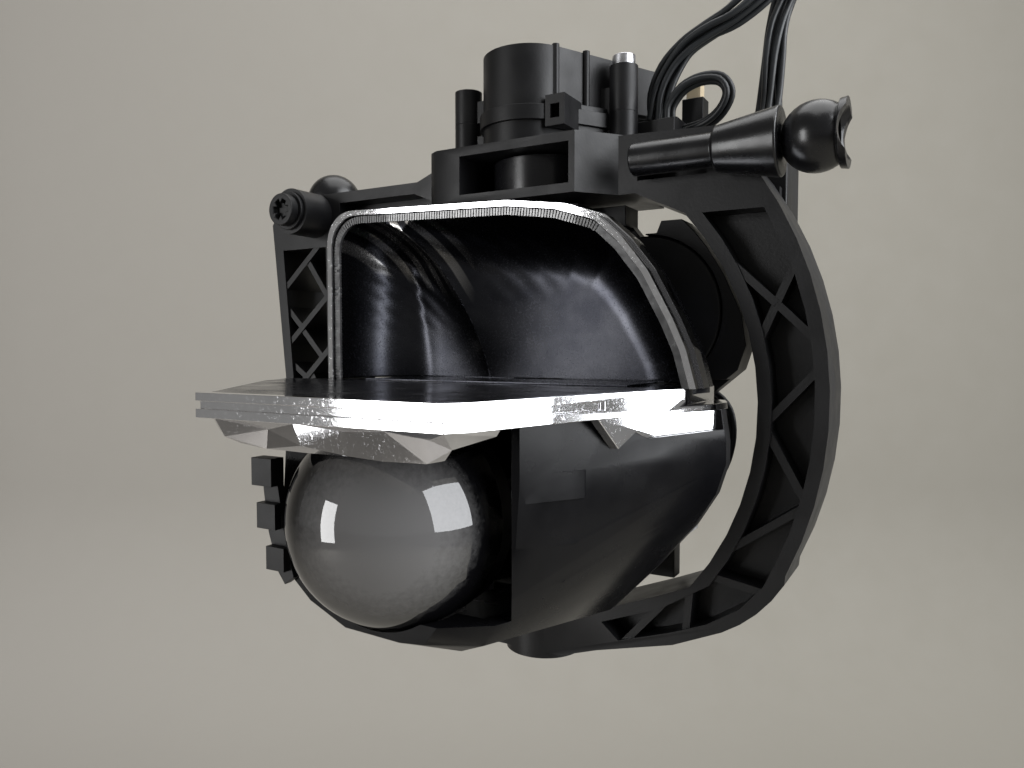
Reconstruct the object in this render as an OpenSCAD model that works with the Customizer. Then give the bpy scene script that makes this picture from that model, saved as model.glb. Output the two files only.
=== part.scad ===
// Swivelling fog light module in its ribbed carrier frame, with the actuator that turns it.
// Millimetres. Z runs up the swivel axis, -Y is the side the light leaves by, +X is to the
// right of somebody facing the lens. Z = 0 is the mouth of the lower locating bore.

/* [Carrier frame] */
// Depth of the ribbed ring, front to back
frame_d = 16; // [13.3:0.1:19.2]
// Thickness of the ring's outer and inner walls
frame_wall = 2.6; // [2:0.1:3.2]
// Thickness of the bracing ribs
rib_w = 1.5; // [1.2:0.1:2.4]
// Thickness of the web between the front and back rib pockets
pocket_web = 3; // [2:0.5:5]
// Radius of the locating bore under the frame
locator_r = 3; // [2:0.1:3.6]
// Depth of the locating bore
locator_len = 5; // [4:0.5:6]

/* [Swivel] */
// Radius of the lower pivot pin
pin_r = 3.25; // [2.6:0.05:4]
// Radial running clearance in both swivel bearings
run_gap = 0.05; // [0.02:0.01:0.1]
// Radius of the ball stud that the socket takes
stud_r = 4.05; // [3.5:0.05:4.3]
// Radius of the output drum seen in the bar's window
drum_r = 12; // [10:0.5:12.4]
// Radius of the drum's upper neck
neck_r = 5; // [4:0.1:5.6]

/* [Gears] */
// Gear module of the actuator train
gear_m = 0.5; // [0.4:0.05:0.5]
// Play left at every tooth flank
backlash = 0.12; // [0.06:0.01:0.2]

/* [Projector] */
// Radius of the ball lens
lens_r = 19; // [15.8:0.1:19.6]
// Height of the lens axis
lens_z = 41.4; // [39:0.2:43]
// Wall of the black shroud
shroud_wall = 2; // [1.6:0.1:2.4]

/* [Reflector] */
// Wall of the reflector shell
reflector_wall = 1.8; // [1.4:0.1:2.4]
// Thickness of the shelf plate and its bezel
shelf_t = 4.2; // [3.4:0.1:5]

/* [Cooling] */
// Height of the heat sink's fins
fin_h = 16; // [12:1:20]
// Radius of the fan's blades
fan_r = 20; // [16:0.5:21]

/* [Hidden] */
$fn = 48;

front_y = -frame_d / 2;
back_y = frame_d / 2;
window_top = 102.5;
window_bottom = 13;
bar_top = 115;
bar_front = -16;
bar_x0 = -19.5;
bar_x1 = 15;
bar_wall = 2;
boss_r = 9;
rib_step = 0.06;
rib_set = 0.3;
seat_z = 6.5;
bush_wall = 2.2;
ear_r = 5.75;
ear_y = -17;
screw_r = 2.4;
screw_end_y = -6;
washer_t = 1;
bolt_shank_r = 1.5;
fit_gap = 0.1;
drum_z0 = 104.8;
drum_z1 = 112.4;
lens_top = 56.8;
led_t = 1.6;
sink_y = 10;
fin_pitch = 4.75;
fin_t = 1.4;
screw_pitch = 21.5;
rod_y = -12;
rod_z = 108.3;
rod_r = 3.25;
cone_x0 = 42.8;
cone_x1 = 55;
cone_r0 = 4.35;
cone_r1 = 6.5;
ball_x = 61;
ear = [-64.5, 105.3];
base_z0 = bar_top;
base_z1 = 123.3;
cover_z1 = 136.3;
band_h = 3.3;
left_boss_top = 131;
right_boss_top = 133.6;
head_r = 2.6;
head_h = 2.4;
shell_t = 1.6;
housing_y0 = 2;
housing_y1 = 6;
flange_y0 = -17;
flange_y1 = -14;
lens_y = -55.3;
shroud_y = -56.5;
front_lip_y = -62;
rim_y = -24;
rim_side_y = -14;
shelf_z1 = 63.2;
shelf_z0 = shelf_z1 - shelf_t;
fan_z = 57;
collar_r = 9;
fan_y0 = sink_y + fin_h;
fan_depth = 10;
axle_r = 0.95;
sink_z0 = 26;
sink_z1 = 88;

// Gear train: output wheel on the swivel axis, compound idler, motor pinion.
out_teeth = 28;
idler_small = 10;
idler_big = 32;
motor_teeth = 10;
mesh_gap = 0.1;
idler_angle = 80;
motor_angle = 65;
idler_dist = gear_m * (out_teeth + idler_small) / 2 + mesh_gap;
motor_dist = gear_m * (idler_big + motor_teeth) / 2 + mesh_gap;
idler_pos = idler_dist * [cos(idler_angle), sin(idler_angle)];
motor_pos = idler_pos + motor_dist * [cos(motor_angle), sin(motor_angle)];
gear_z0 = 118;
gear_z1 = 121;
big_z0 = 121.6;
big_z1 = 123.8;

// Routes of the wires, chosen by hand.
harness_d = 7;
harness_route = [[23.5, 11, 122], [23.8, 11.2, 128], [25.8, 11.6, 133.5], [29.4, 12, 138],
  [34, 12.3, 140.8], [39.5, 12.6, 143], [45, 13.4, 147], [49.5, 15.5, 152], [51.5, 19.5, 155.3],
  [50.5, 23.5, 154], [48, 25, 149], [46.4, 24, 142.5], [46, 22, 135], [46, 20, 126],
  [46, 18, 119], [46, 17, 112]];
loop_d = 3.6;
loop_route = [[27, 7, 121], [27.3, 7, 124], [30, 7.2, 127.4], [34, 7.6, 128.9], [38, 8.2, 128.4],
  [39.6, 9, 125.6], [37.8, 10.2, 122.4], [34, 11.5, 120.3], [28.5, 12.5, 119.5]];
lead_d = 3;
lead_route = [[30, 8, 62], [36, 8, 61], [41, 6, 57], [42, 4, 50], [39, 4, 43], [31, 4, 40]];

function arc(c, r, a0, a1, n) =
  [for (i = [0:n]) let (a = a0 + (a1 - a0) * i / n) [c[0] + r * cos(a), c[1] + r * sin(a)]];
function mirrored(p) = [for (i = [len(p) - 1:-1:0]) [-p[i][0], p[i][1]]];
function shrunk(p, c, k) = [for (q = p) c + k * (q - c)];

// A flat X-Z outline made solid between two values of Y.
module upright(y0, y1, pts) {
  translate([0, y1, 0]) rotate([90, 0, 0]) linear_extrude(y1 - y0) polygon(pts);
}
module along_y(p, r, y0, y1) {
  translate([p[0], y1, p[1]]) rotate([90, 0, 0]) cylinder(r = r, h = y1 - y0);
}
module along_x(y, z, r1, r2, x0, x1) {
  translate([x0, y, z]) rotate([0, 90, 0]) cylinder(r1 = r1, r2 = r2, h = x1 - x0);
}
module box(p0, p1) {
  translate(p0) cube(p1 - p0);
}

// A round tube swept along a list of points, in flat-sided segments.
function unit(v) = v / norm(v);
module sweep(route, d, sides) {
  n = len(route);
  dirs = [for (i = [0:n - 1]) unit(route[min(i + 1, n - 1)] - route[max(i - 1, 0)])];
  side = [for (i = [0:n - 1]) unit(cross(dirs[i], [0.1, 1, 0.2]))];
  lift = [for (i = [0:n - 1]) cross(dirs[i], side[i])];
  pts = [for (i = [0:n - 1]) for (k = [0:sides - 1])
    let (a = 360 * k / sides) route[i] + d / 2 * (cos(a) * side[i] + sin(a) * lift[i])];
  walls = [for (i = [0:n - 2]) for (k = [0:sides - 1])
    let (k2 = (k + 1) % sides) [i * sides + k, (i + 1) * sides + k,
      (i + 1) * sides + k2, i * sides + k2]];
  tris = [for (w = walls) each [[w[0], w[1], w[2]], [w[0], w[2], w[3]]]];
  caps = [[for (k = [0:sides - 1]) k], [for (k = [sides - 1:-1:0]) (n - 1) * sides + k]];
  polyhedron(points = pts, faces = concat(tris, caps));
}

// Involute spur gear outline with shortened teeth.
function involute(rb, r, sgn) = let (t = sqrt(max(0, r * r / (rb * rb) - 1)),
  a = t * 180 / PI - atan(t)) sgn * a;
module gear(teeth, h) {
  rp = gear_m * teeth / 2;
  rb = rp * cos(25);
  ra = rp + 0.7 * gear_m;
  rf = rp - 1.0 * gear_m;
  half = 90 / teeth + involute(rb, rp, 1) - backlash / 2 / rp * 180 / PI;
  radii = [rf, max(rb, rf + 0.02), rp, ra];
  flank = [for (r = radii) [r, half - involute(rb, r, 1)]];
  linear_extrude(h) polygon([for (i = [0:teeth - 1]) let (c = 360 * i / teeth)
    each concat([for (f = flank) [f[0] * cos(c - f[1]), f[0] * sin(c - f[1])]],
      [for (k = [3:-1:0]) let (f = flank[k]) [f[0] * cos(c + f[1]), f[0] * sin(c + f[1])]])]);
}

// ---- carrier frame ----
ring_outer = concat([[-8, 1.5], [8, 1.5], [17, 4.5], [34, 9]], arc([30, 40], 30, -70, -30, 5),
  arc([-15, 60], 78.5, -25, 39.5, 12), [[42.5, 114], [bar_x1, bar_top], [-20, bar_top],
  [-31, 110.7], [-70, 110.7], [-78, 108.5], [-80.5, 104], [-76, 60], [-71, 34], [-60, 18],
  [-38, 8], [-17, 4.5]]);
ring_window = concat([[-16, window_bottom], [16, window_bottom], [30, 18.5]],
  arc([-8, 58.5], 58.5, -39, 42, 12), [[25, window_top], [-54, window_top], [-59, 98],
  [-58, 60], [-54, 36], [-40, 20]]);
right_pocket = concat([[22, 7.6], [34, 11.7], [41, 14.6], [47.5, 18.8], [52, 24]],
  arc([-15, 60], 78.5 - frame_wall, -24, 29.5, 10),
  arc([-8, 58.5], 58.5 + frame_wall, 39.5, -36, 12), [[31, 16], [18, 11]]);
arm_pocket = [[25.5, 105], [40, 105], [40, 111.4], [25.5, 111.4]];
left_pocket = [[-61, 97], [-60.6, 60], [-56.5, 36], [-47, 24], [-38, 16], [-38, 11],
  [-58.5, 20.5], [-68.6, 35], [-73.2, 60], [-76.6, 97]];
left_arm_pocket = [[-56, 105.1], [-25, 105.1], [-32, 108], [-56, 108]];
// Ribs run from wall to wall, with their ends buried in the walls.
closed_ribs = [[[43, 89], [53.6, 79]], [[53.6, 79], [57.4, 87.6]], [[53.6, 79], [61.3, 71.5]],
  [[53.6, 79], [50.2, 71.2]], [[61.8, 67], [51.5, 55.5]], [[51.5, 55.5], [59.8, 40.6]],
  [[59.8, 40.6], [44, 29.5]], [[40.5, 24.5], [53.5, 22.3]],
  [[37.3, 21.2], [36.5, 12]], [[31.8, 17.2], [22.5, 6.7]]];
open_ribs = [[[-78, 85.3], [-59.6, 101.4]], [[-77, 70.1], [-58.4, 86.4]],
  [[-75.5, 56.7], [-57.6, 73]], [[-73.8, 44.3], [-56.8, 59.8]], [[-70.8, 34.5], [-54, 50]],
  [[-68.4, 94.1], [-61.4, 84.3]], [[-77.2, 82.6], [-70.6, 76]], [[-70.4, 75.4], [-63.4, 68]],
  [[-76, 67.2], [-69.4, 62.6]], [[-67.6, 63.6], [-62.2, 55.4]], [[-74, 54.4], [-68, 50]],
  [[-66.2, 50.8], [-60.4, 44.6]], [[-68, 32], [-46.2, 25]]];
module rib(a, b, y0, y1) {
  d = b - a;
  translate([a[0], y1, a[1]]) rotate([90, 0, 0]) rotate([0, 0, atan2(d[1], d[0])])
    translate([0, -rib_w / 2, 0]) cube([norm(d), rib_w, y1 - y0]);
}
module carrier_frame() color([0.09, 0.09, 0.1]) {
  web_y0 = -pocket_web / 2 - 0.5;
  web_y1 = web_y0 + pocket_web;
  difference() {
    union() {
      difference() {
        union() {
          upright(front_y, back_y, ring_outer);
          // Top bar, with its right side falling back to the ring
          translate([0, 0, window_top]) linear_extrude(bar_top - window_top)
            polygon([[bar_x0, bar_front], [bar_x1, bar_front], [24.5, -4], [24.5, 12],
              [-24, 12], [-24, -11], [-22, -14.5]]);
          // Foot that carries the lower bearing
          cylinder(r = boss_r, h = window_bottom);
          // Web behind the socket rod
          box([30, rod_y, rod_z - 2], [46, front_y + 1, rod_z + 2]);
          // Ear for the pivot screw
          along_y(ear, ear_r, ear_y, front_y + 1);
        }
        upright(front_y - 1, back_y + 1, ring_window);
        for (side = [[front_y - 1, web_y0], [web_y1, back_y + 1]]) {
          upright(side[0], side[1], right_pocket);
          upright(side[0], side[1], left_arm_pocket);
        }
        upright(front_y - 1, 2, arm_pocket);
        upright(front_y - 1, back_y + 1, left_pocket);
      }
      // Each rib's edge is set back a little more than the last one's
      for (i = [0:len(closed_ribs) - 1])
        rib(closed_ribs[i][0], closed_ribs[i][1], front_y + rib_set + rib_step * i,
          back_y - rib_set - rib_step * i);
      for (i = [0:len(open_ribs) - 1])
        rib(open_ribs[i][0], open_ribs[i][1], front_y + rib_set + rib_step * i,
          back_y - rib_set - rib_step * i);
      // Post that takes the wiring connector, on the back of the right arm
      box([41, back_y - 1, 98], [51, back_y + 1.5, 104]);
    }
    // Locating bore and bearing seat in the foot
    translate([0, 0, -1]) cylinder(r = locator_r, h = locator_len + 1);
    translate([0, 0, seat_z]) cylinder(r = pin_r + bush_wall, h = 10);
    // Hollow of the bar with its front window, and the holes for the drum
    box([-13.3, bar_front - 1, window_top + bar_wall], [13.6, 9.5, bar_top - bar_wall]);
    translate([0, 0, window_top + bar_wall])
      cylinder(r = drum_r + 0.6, h = bar_top - window_top - 2 * bar_wall);
    translate([0, 0, window_top - 1]) cylinder(r = collar_r + 0.4, h = bar_wall + 2);
    translate([0, 0, bar_top - bar_wall - 1]) cylinder(r = neck_r + 2, h = 10);
    // Screw and rod seats
    along_y(ear, screw_r, ear_y - 3, screw_end_y);
    along_x(rod_y, rod_z, rod_r, rod_r, 26, cone_x0);
    along_x(rod_y, rod_z, cone_r0 + fit_gap, cone_r1 + fit_gap, cone_x0 - 0.05,
      cone_x1 + 0.1);
  }
}
module lower_bush() color([0.75, 0.72, 0.62]) difference() {
  union() {
    translate([0, 0, seat_z]) cylinder(r = pin_r + bush_wall, h = window_bottom - seat_z);
    translate([0, 0, window_bottom]) cylinder(r = pin_r + 4, h = 0.8);
  }
  translate([0, 0, 5]) cylinder(r = pin_r + run_gap, h = 10);
}
module upper_bush() color([0.75, 0.72, 0.62]) difference() {
  translate([0, 0, bar_top - bar_wall]) cylinder(r = neck_r + 2, h = bar_wall + 1);
  translate([0, 0, 110]) cylinder(r = neck_r + run_gap, h = 10);
}

// ---- actuator ----
lobe = [-3, -2.5];
lobe_r = 10.5;
left_bolt = [-18.6, -4];
right_bolt = [17.2, 5];
bolt_r = 3.2;
module base_shape(t) {
  hull() {
    translate(lobe) circle(r = lobe_r - t);
    translate([19, 23]) circle(r = 6 - t);
    translate([-6, 24]) circle(r = 6 - t);
  }
}
module cover_shape(t) {
  hull() {
    translate(lobe) circle(r = lobe_r - t);
    translate([14.5, 22]) circle(r = 6 - t);
    translate([-6, 24]) circle(r = 6 - t);
  }
}
module bolt_holes(z0, z1) {
  for (p = [left_bolt, right_bolt])
    translate([p[0], p[1], z0]) cylinder(r = bolt_shank_r + fit_gap, h = z1 - z0);
}
module actuator_base() color([0.1, 0.1, 0.11]) difference() {
  union() {
    translate([0, 0, base_z0]) linear_extrude(base_z1 - base_z0) base_shape(0);
    // Sealing band under the parting line
    translate([0, 0, base_z1 - band_h]) linear_extrude(band_h) base_shape(-0.8);
    for (p = [left_bolt, right_bolt])
      translate([p[0], p[1], base_z0]) cylinder(r = bolt_r, h = base_z1 - base_z0);
    box([left_bolt[0], left_bolt[1] - 1, base_z0], [-8, left_bolt[1] + 1, base_z1 - 3]);
    box([8, right_bolt[1] - 1, base_z0], [right_bolt[0], right_bolt[1] + 1, base_z1 - 3]);
  }
  translate([0, 0, base_z0 + 2.2]) linear_extrude(20) base_shape(shell_t);
  translate([0, 0, base_z0 - 1]) cylinder(r = neck_r + 2.4, h = 5);
  bolt_holes(base_z0 - 1, base_z1 + 1);
}
// Upright rib on the cover's side, at an angle round the lobe or along the flat
module cover_rib(p) {
  translate([p[0], p[1], base_z1]) cylinder(r = 0.8, h = cover_z1 - base_z1 + 0.4, $fn = 16);
}
module actuator_cover() color([0.1, 0.1, 0.11]) difference() {
  union() {
    translate([0, 0, base_z1]) linear_extrude(1.2) base_shape(0);
    translate([0, 0, base_z1]) linear_extrude(cover_z1 - base_z1) cover_shape(0);
    translate([left_bolt[0], left_bolt[1], base_z1]) cylinder(r = bolt_r, h = left_boss_top - base_z1);
    translate([right_bolt[0], right_bolt[1], base_z1])
      cylinder(r = bolt_r, h = right_boss_top - base_z1);
    box([left_bolt[0], left_bolt[1] - 1, base_z1], [-8, left_bolt[1] + 1, base_z1 + 5]);
    box([8, right_bolt[1] - 1, base_z1], [right_bolt[0], right_bolt[1] + 1, base_z1 + 6]);
    cover_rib([6.2, -7.2]);
    cover_rib([10.2, 0]);
    // Snap latch that hangs over the base's band
    difference() {
      box([5.4, -10.6, base_z1 - 5], [10, -2, base_z1 + 1.6]);
      box([6.6, -12, base_z1 - 3.4], [8.8, -2, base_z1 - 0.4]);
      translate([0, 0, base_z0]) linear_extrude(base_z1 - base_z0) base_shape(-0.9);
    }
  }
  translate([0, 0, base_z1 - 1]) linear_extrude(cover_z1 - base_z1 - 0.6) cover_shape(shell_t);
  bolt_holes(base_z1 - 1, right_boss_top + 1);
  translate([left_bolt[0], left_bolt[1], left_boss_top - head_h])
    cylinder(r = head_r + fit_gap, h = head_h + 1);
}
module actuator_bolts() color([0.78, 0.78, 0.8])
  for (p = [[left_bolt, left_boss_top - head_h], [right_bolt, right_boss_top]]) difference() {
    union() {
      translate([p[0][0], p[0][1], base_z0]) cylinder(r = bolt_shank_r, h = p[1] - base_z0);
      translate([p[0][0], p[0][1], p[1]]) cylinder(r = head_r, h = head_h);
    }
    translate([p[0][0], p[0][1], p[1] + 1.2]) cylinder(r = 1.3, h = 2, $fn = 6);
  }
module motor_can() color([0.7, 0.7, 0.72]) translate([motor_pos[0], motor_pos[1], 0]) {
  difference() {
    translate([0, 0, big_z1 + 0.6]) cylinder(r = 6, h = 8.2);
    translate([0, 0, big_z1]) cylinder(r = 0.8 + run_gap, h = 7);
  }
}
module actuator_board() color([0.1, 0.35, 0.2])
  translate([0, 0, big_z1 + 9.4]) linear_extrude(1) cover_shape(shell_t + 1);
module actuator_plug() color([0.08, 0.08, 0.09]) difference() {
  union() {
    box([19, 8.6, bar_top], [28.5, 21, 122]);
    // Raised end that carries the locking slide
    box([27, 16.5, bar_top], [32, 21, 128]);
    // Side entry of the short wire loop
    box([25, 5, bar_top], [29, 9, 121]);
  }
  translate([0, 0, 100]) linear_extrude(40) base_shape(-0.8);
}
module plug_latch() color([0.85, 0.82, 0.7]) box([27.8, 17.2, 128], [31.2, 20.2, 131.5]);
module motor_pinion() color([0.8, 0.75, 0.5]) translate([motor_pos[0], motor_pos[1], 0])
  union() {
    translate([0, 0, big_z0]) rotate([0, 0, motor_angle + 180 + 180 / motor_teeth])
      gear(motor_teeth, big_z1 - big_z0);
    translate([0, 0, big_z1 - 0.5]) cylinder(r = 0.8, h = 6);
  }
module idler_gear() color([0.9, 0.9, 0.86]) translate([idler_pos[0], idler_pos[1], 0])
  union() {
    translate([0, 0, gear_z0]) rotate([0, 0, idler_angle + 180 + 180 / idler_small])
      gear(idler_small, big_z0 - gear_z0 + 0.1);
    translate([0, 0, big_z0]) rotate([0, 0, motor_angle]) gear(idler_big, big_z1 - big_z0);
    translate([0, 0, base_z0 + 2.3]) cylinder(r = 1, h = 12);
  }

// ---- rod, socket, pivot ----
module socket_rod() color([0.07, 0.07, 0.08]) {
  along_x(rod_y, rod_z, rod_r, rod_r, 26, cone_x0);
  along_x(rod_y, rod_z, cone_r0, cone_r1, cone_x0, cone_x1);
}
// Profile: distance along X from the ball's centre runs up the second coordinate.
socket_outer = arc([0, 0], 6.4, -65, 35, 10);
socket_inner = arc([0, 1], stud_r, 40, -89, 8);
module ball_socket() color([0.07, 0.07, 0.08]) difference() {
  translate([ball_x, rod_y, rod_z]) rotate([0, 90, 0]) rotate_extrude()
    polygon(concat([[0, -6], [4.6, -6]], socket_outer, [[6, 4], [6.2, 5.2], [4.7, 5.2]],
      socket_inner, [[0, 1 - stud_r]]));
  // Mouth hollowed from front to back, which leaves an upper and a lower lip
  along_y([ball_x + 10, rod_z], 6.1, rod_y - 8, rod_y + 8);
}
module pivot_ball() color([0.07, 0.07, 0.08]) {
  difference() {
    translate([-67, 2, 111]) sphere(r = 7.2);
    upright(front_y, back_y, ring_outer);
    box([-80, -10, 100], [-50, 12, 110.7]);
  }
}
module pivot_screw() color([0.12, 0.12, 0.13]) difference() {
  union() {
    along_y(ear, screw_r, ear_y - washer_t, screw_end_y);
    along_y(ear, 4, -20.4, ear_y - washer_t);
  }
  for (k = [0:2]) translate([ear[0], -18.8, ear[1]]) rotate([90, 0, 0]) rotate([0, 0, 60 * k])
    translate([-2.55, -0.75, 0]) cube([5.1, 1.5, 3]);
}
module pivot_washer() color([0.12, 0.12, 0.13]) difference() {
  along_y(ear, 4.8, ear_y - washer_t, ear_y);
  along_y(ear, screw_r, ear_y - washer_t - 1, ear_y + 1);
}
module rear_connector() color([0.08, 0.08, 0.09]) {
  box([40, back_y + 1.5, 96], [52, back_y + 15, 112]);
}
module wire_harness() color([0.05, 0.05, 0.05]) sweep(harness_route, harness_d, 8);
module wire_loop() color([0.05, 0.05, 0.05]) sweep(loop_route, loop_d, 8);

// ---- swivelling module ----
module output_drum() color([0.08, 0.08, 0.09]) union() {
  translate([0, 0, 101.8]) cylinder(r = collar_r, h = 3.1);
  translate([0, 0, drum_z0]) cylinder(r = drum_r, h = drum_z1 - drum_z0);
  translate([0, 0, drum_z1 - 0.1]) cylinder(r = neck_r, h = gear_z0 - drum_z1 + 0.1);
  translate([0, 0, gear_z0]) rotate([0, 0, idler_angle]) gear(out_teeth, gear_z1 - gear_z0);
}
flange_right = [[24, 17.5], [33, 27], [41, 36.5], [45, 43], [46.9, 49], [46.9, 53], [46, shelf_z0]];
flange_outline = concat(flange_right, mirrored(flange_right));
front_right = [[14, 20.6], [18.5, 22.4], [22.5, 30], [24.3, 39], [25, 49], [25, 58.8]];
front_outline = concat(front_right, [[-25, 58.8], [-25, 49], [-24.6, 38], [-22, 28.5], [-18, 23.4],
  [-11, 20.4]]);
// Rear plate, shouldered on the right around the round bulkhead
rear_outline = [[-31, 20], [31, 20], [31, 56], [38, 60], [45, 66], [46.6, 71], [45.6, 77.5],
  [42, 85.5], [38.3, 91.5], [35.5, 95], [33, 97.5], [28.5, 97.5], [27.5, 95], [22.5, 95],
  [20.5, 97.5], [20.5, 101.5], [-12, 101.5], [-12, 96], [-31, 96]];
module module_housing() color([0.08, 0.08, 0.09]) difference() {
  union() {
    upright(flange_y0, flange_y1, flange_outline);
    // Side walls from the flange back to the rear plate
    for (s = [-1, 1]) box([s * 28 - 1.5, flange_y1 - 1, 24], [s * 28 + 1.5, housing_y1, shelf_z0]);
    upright(housing_y0, housing_y1, rear_outline);
    // Rim around the bulkhead, and posts that the reflector is screwed to
    difference() {
      upright(-1.6, housing_y0 + 1, rear_outline);
      along_y([25, 78], 16.7, -3, housing_y0 + 2);
      box([-40, -3, 10], [25, housing_y0 + 2, 97]);
      box([-40, -3, 10], [60, housing_y0 + 2, 64]);
    }
    for (x = [-18, 4]) along_y([x, 84], 3, -3, housing_y0 + 1);
    box([-12, flange_y1 - 1, 17], [12, housing_y1, 20.5]);
    translate([0, 0, 17]) cylinder(r = 9, h = 3.5);
    box([-12, -8, 98.5], [12, housing_y1, 101.8]);
    box([-12, housing_y0, 94], [12, housing_y1, 101.8]);
    translate([0, 0, 98.5]) cylinder(r = 11, h = 3.3);
  }
  upright(flange_y0 - 1, flange_y1 + 1, shrunk(flange_outline, [0, 40], 0.86));
  box([-8, flange_y0 - 1, 16], [8, flange_y1 - 1, 22]);
}
lip_outline = [[-21, 39], [-20.4, 33.4], [-18, 29], [-14.3, 26], [-6.2, 22.6], [5.5, 22.2],
  [10.5, 22.8], [13, 26], [13, 30]];
module lower_trunnion() color([0.6, 0.6, 0.62]) union() {
  translate([0, 0, 7]) cylinder(r = pin_r, h = 7.5);
  translate([0, 0, 14.2]) cylinder(r = 7.5, h = 2.8);
}
rim_right = [[43.5, shelf_z1], [41.6, 70.2], [39, 76], [34.2, 84.9], [29.3, 91.1], [24.2, 95.8],
  [15.7, 98.6], [4.4, 100.2]];
rim_outline = concat(rim_right, arc([-37, 94.7], 7, 85, 180, 6), [[-44, shelf_z1]]);
reflector_back = [[30, shelf_z1], [30, 74], [24, 86], [14, 92], [-26, 93], [-33, 88], [-34, shelf_z1]];
chip_x = [-18, -9, 0, 9];
module reflector() color([0.25, 0.25, 0.27]) difference() {
  hull() {
    upright(rim_y, rim_side_y, rim_outline);
    upright(-3.2, -3, reflector_back);
  }
  hull() {
    upright(rim_y - 0.1, rim_y, shrunk(rim_outline, [0, shelf_z1 + 1], 0.955));
    upright(-3.2 - reflector_wall, -3 - reflector_wall,
      shrunk(reflector_back, [-2, shelf_z1 + 1], 0.93));
  }
  // Open floor over the light emitters
  box([-43, rim_y - 1, shelf_z1 - 1], [42.2, -3 - reflector_wall, shelf_z1 + 0.4]);
}
module reflector_rim() color([0.85, 0.86, 0.88]) difference() {
  upright(rim_y - 1.4, rim_y, rim_outline);
  upright(rim_y - 2, rim_y + 1, shrunk(rim_outline, [0, shelf_z1 - 2], 0.968));
}
module light_guide() color([0.8, 0.82, 0.85]) difference() {
  upright(rim_y - 0.8, rim_y, shrunk(rim_outline, [0, shelf_z1 - 2], 0.966));
  upright(rim_y - 2, rim_y + 1, shrunk(rim_outline, [0, shelf_z1 - 2], 0.93));
  box([-50, rim_y - 3, 40], [50, rim_y + 3, shelf_z1 + 0.1]);
}
shelf_outline = [[-25.5, -76.3], [24.5, -76.3], [26.6, -73], [31, -56], [39, -30], [44.8, -19],
  [46, -13], [44, -7], [43, -6.5], [32, -6.5], [-40, -17], [-52, -17], [-58, -28], [-54, -38]];
module shelf_plate() color([0.12, 0.12, 0.13])
  difference() {
    translate([0, 0, shelf_z1 - 1.2]) linear_extrude(1.2)
      polygon(shrunk(shelf_outline, [-4, -40], 0.94));
    box([-60, rim_y - 1.5, shelf_z1 - 0.2], [60, 20, 80]);
  }
// Right flank of the bezel: it deepens towards the back. Side view, Y against Z.
flank_side = [[-50, shelf_z0 + 0.5], [-50, shelf_z0], [-46, shelf_z0], [-41, 53.7], [-36.5, 56.2],
  [-33.7, 54.9], [-17.4, 55.4], [-17.4, shelf_z0 + 0.5]];
flank_line = [[33.6, -46], [35, -41.5], [38.5, -30], [44.2, -19.2], [45.1, -17]];
module flank(t0, t1) {
  intersection() {
    linear_extrude(90) polygon(concat(
      [for (q = flank_line) [q[0] + t1, q[1] - 0.2]],
      [for (i = [len(flank_line) - 1:-1:0]) [flank_line[i][0] - t0, flank_line[i][1]]]));
    translate([-60, 0, 0]) rotate([90, 0, 90]) linear_extrude(160) polygon(flank_side);
  }
}
module shelf_bezel() color([0.86, 0.87, 0.89]) {
  difference() {
    union() {
      translate([0, 0, shelf_z0]) linear_extrude(shelf_t) polygon(shelf_outline);
      flank(1.6, 0);
    }
    translate([0, 0, shelf_z0 - 1]) linear_extrude(shelf_t + 2)
      polygon(shrunk(shelf_outline, [-4, -40], 0.9));
    translate([0, 0, shelf_z1 - 1.2]) linear_extrude(3)
      polygon(shrunk(shelf_outline, [-4, -40], 0.94));
    box([-60, rim_y - 1.5, shelf_z1 - 0.2], [60, 20, 80]);
    // Step down of the rear right corner
    box([41.6, rim_y - 1.5, 60.2], [60, 20, 80]);
    // Groove between the bezel's two bright bands
    translate([0, 0, shelf_z0 + 1.5]) linear_extrude(1.3) difference() {
      translate([-80, -90]) square([160, 45]);
      polygon(shrunk(shelf_outline, [-4, -40], 0.982));
    }
  }
}
module front_skirt() color([0.86, 0.87, 0.89]) {
  hull() {
    translate([0, 0, shelf_z0 - 0.2]) linear_extrude(0.2)
      polygon([[-24.5, -75.6], [24, -75.6], [25.8, -73], [27.6, -66], [24, -66], [-24.5, -73.6]]);
    box([-19.5, -73.6, 53.9], [21.2, -71, 54.3]);
  }
}
module lens() color([0.8, 0.82, 0.85]) difference() {
  union() {
    intersection() {
      translate([0, lens_y, lens_z]) sphere(r = lens_r);
      along_y([0, lens_z], lens_r, lens_y - lens_r - 1, lens_y + 3);
    }
    along_y([0, lens_z], lens_r, lens_y, lens_y + 4);
  }
  // Flattened top, tucked under the skirt
  box([-20, lens_y - 20, lens_top], [20, lens_y + 20, 70]);
}
module lens_retainer() color([0.1, 0.1, 0.11]) difference() {
  along_y([0, lens_z], lens_r - 0.4, lens_y + 4, lens_y + 8);
  along_y([0, lens_z], lens_r - 3.6, lens_y, lens_y + 10);
  box([-22, lens_y, lens_top - 0.4], [22, lens_y + 12, 66]);
}
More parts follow.
